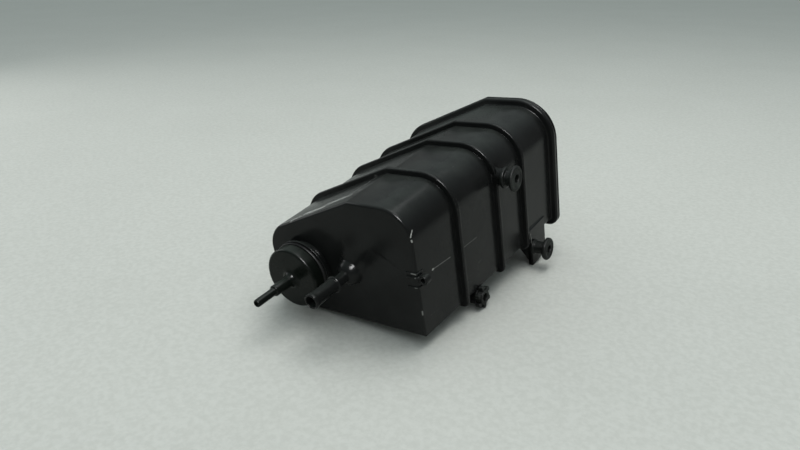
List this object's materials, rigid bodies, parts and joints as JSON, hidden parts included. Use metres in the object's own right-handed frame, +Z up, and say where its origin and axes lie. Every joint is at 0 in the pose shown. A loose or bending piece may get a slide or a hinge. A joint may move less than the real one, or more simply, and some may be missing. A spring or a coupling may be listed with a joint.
{
  "type": "charcoal canister",
  "caption": "Fuel vapour canister: tapered ribbed plastic housing filled with activated carbon, with a tank pipe, a round vent cap with a small pipe, a welded cover and rubber mounts.",
  "frame": {"origin": "middle of the mouth of the socket in the upper rubber mount", "axes": "+X out of the mounts, along their sockets; +Y from the port face to the cover; +Z up, as it lies in the picture"},
  "size_m": [0.1489, 0.2475, 0.1213],
  "materials": {
    "housing_plastic": "semi-gloss black moulded polyamide",
    "cover_plastic": "semi-gloss black moulded polyamide",
    "cap_plastic": "satin black moulded plastic",
    "seal_rubber": "matt black rubber",
    "mount_rubber": "matt dark grey rubber, a little dusty",
    "foam": "open dark grey foam",
    "fleece": "white needled fleece",
    "carbon": "packed black carbon granules",
    "grid_plastic": "natural moulded plastic",
    "spring_steel": "bright spring wire"
  },
  "bodies": {
    "root": {"canister_body": "housing_plastic", "end_cover": "cover_plastic", "vent_cap": "cap_plastic", "vent_cap_seal": "seal_rubber", "vent_strainer": "foam", "upper_isolator": "mount_rubber", "rear_isolator": "mount_rubber", "front_isolator": "mount_rubber", "main_port_pad": "fleece", "vent_port_pad": "fleece", "main_cover_pad": "fleece", "vent_cover_pad": "fleece", "main_carbon": "carbon", "vent_carbon": "carbon", "main_grid": "grid_plastic", "vent_grid": "grid_plastic", "main_spring_low": "spring_steel", "main_spring_high": "spring_steel", "vent_spring_low": "spring_steel", "vent_spring_high": "spring_steel"}
  },
  "joints": []
}
